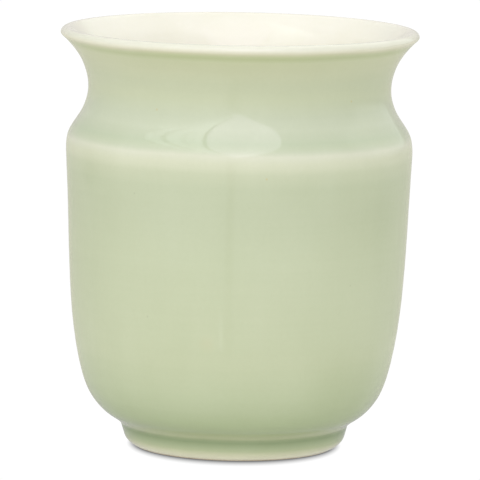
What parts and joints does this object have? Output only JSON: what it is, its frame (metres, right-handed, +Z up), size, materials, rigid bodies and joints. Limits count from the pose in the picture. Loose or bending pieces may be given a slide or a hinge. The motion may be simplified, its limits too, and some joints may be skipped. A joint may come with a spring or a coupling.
{
  "type": "brush holder pot",
  "caption": "Upright round ceramic brush pot with a waisted neck, flared rounded lip and low foot ring, celadon glazed outside and cream inside.",
  "frame": {"origin": "centre of the circle the foot ring stands on, at table height", "axes": "+Z up along the pot's axis of revolution; +X and +Y are free, since the pot is round"},
  "size_m": [0.1022, 0.1022, 0.12],
  "materials": {
    "porcelain": "bare fired porcelain, matt, warm off-white",
    "celadon_glaze": "glossy pale green celadon, paler where thin and deeper where it pools",
    "liner_glaze": "glossy cream",
    "base_glaze": "glossy, thin pale green over white"
  },
  "bodies": {
    "root": {"porcelain_body": "porcelain", "celadon_glaze": "celadon_glaze", "liner_glaze": "liner_glaze", "base_glaze": "base_glaze"}
  },
  "joints": []
}
